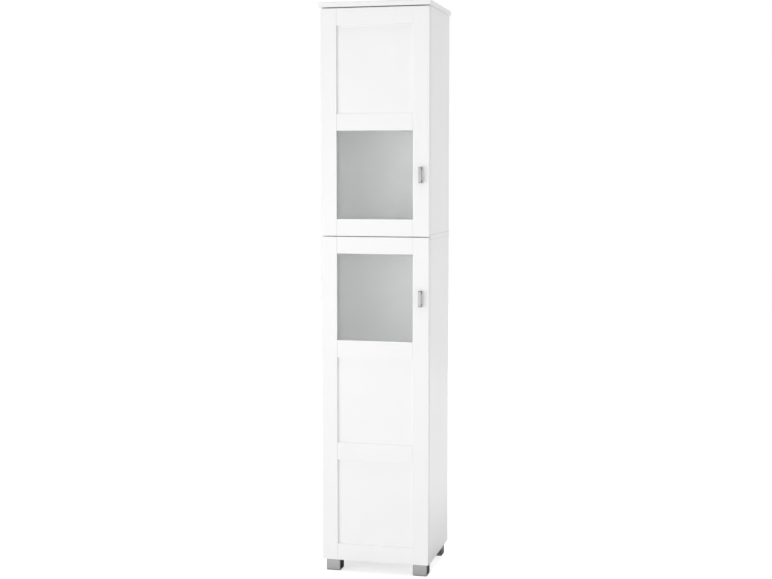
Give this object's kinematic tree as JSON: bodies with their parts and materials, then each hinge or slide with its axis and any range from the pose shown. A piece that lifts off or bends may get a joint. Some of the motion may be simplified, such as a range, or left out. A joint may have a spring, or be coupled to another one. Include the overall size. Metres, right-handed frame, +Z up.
{
  "type": "tall bathroom cabinet",
  "caption": "Tall narrow white bathroom cabinet on square feet, with a short door over a long door, each framed with a frosted pane above or below flat panels.",
  "frame": {"origin": "on the floor, under the middle of the outline with its handles", "axes": "+X to the right seen from the front, +Y to the rear, +Z up; the doors face -Y"},
  "size_m": [0.37, 0.355, 1.876],
  "materials": {
    "white_door": "white foil on board, satin",
    "white_board": "white foil-faced board, satin",
    "back_hardboard": "white-faced hardboard",
    "frosted_glass": "satin-etched clear glass",
    "glazing_bead": "white, satin",
    "handle_metal": "satin nickel-plated",
    "foot_metal": "satin anodised",
    "foot_pad": "black, matt",
    "nickel_hinge": "nickel-plated",
    "zinc_steel": "zinc-plated",
    "zinc_cam": "cast zinc",
    "beech_dowel": "plain beech",
    "soft_bumper": "translucent soft plastic"
  },
  "bodies": {
    "carcass": {"bottom_board": "white_board", "cam_bolts": "zinc_steel", "cam_locks": "zinc_cam", "dowels": "beech_dowel", "foot_front_left": "foot_metal", "foot_front_right": "foot_metal", "foot_pads": "foot_pad", "foot_rear_left": "foot_metal", "foot_rear_right": "foot_metal", "hinge_arms": "nickel_hinge", "hinge_plates": "nickel_hinge", "lower_back_panel": "back_hardboard", "lower_left_side": "white_board", "lower_right_side": "white_board", "lower_shelf_high": "white_board", "lower_shelf_low": "white_board", "mid_board": "white_board", "shelf_pins": "zinc_steel", "top_board": "white_board", "upper_back_panel": "back_hardboard", "upper_left_side": "white_board", "upper_right_side": "white_board", "upper_shelf": "white_board", "wall_brackets": "zinc_steel"},
    "upper_door": {"upper_door_bottom_rail": "white_door", "upper_door_bumpers": "soft_bumper", "upper_door_glass": "frosted_glass", "upper_door_glass_beads": "glazing_bead", "upper_door_handle": "handle_metal", "upper_door_handle_screws": "zinc_steel", "upper_door_handle_stile": "white_door", "upper_door_hinge_stile": "white_door", "upper_door_middle_rail": "white_door", "upper_door_panel": "white_door", "upper_door_top_rail": "white_door", "upper_hinge_cups": "nickel_hinge", "upper_hinge_pins": "nickel_hinge"},
    "lower_door": {"lower_door_bottom_rail": "white_door", "lower_door_bumpers": "soft_bumper", "lower_door_glass": "frosted_glass", "lower_door_glass_beads": "glazing_bead", "lower_door_handle": "handle_metal", "lower_door_handle_screws": "zinc_steel", "lower_door_handle_stile": "white_door", "lower_door_high_cross_rail": "white_door", "lower_door_high_panel": "white_door", "lower_door_hinge_stile": "white_door", "lower_door_low_cross_rail": "white_door", "lower_door_low_panel": "white_door", "lower_door_top_rail": "white_door", "lower_hinge_cups": "nickel_hinge", "lower_hinge_pins": "nickel_hinge"}
  },
  "joints": [
    {"name": "upper_door_hinge", "type": "hinge", "parent": "carcass", "child": "upper_door", "pos_m": [-0.171, -0.1505, 1.49025], "axis": [0, 0, -1], "range_deg": [0, 95]},
    {"name": "lower_door_hinge", "type": "hinge", "parent": "carcass", "child": "lower_door", "pos_m": [-0.171, -0.1505, 0.58175], "axis": [0, 0, -1], "range_deg": [0, 95]}
  ]
}
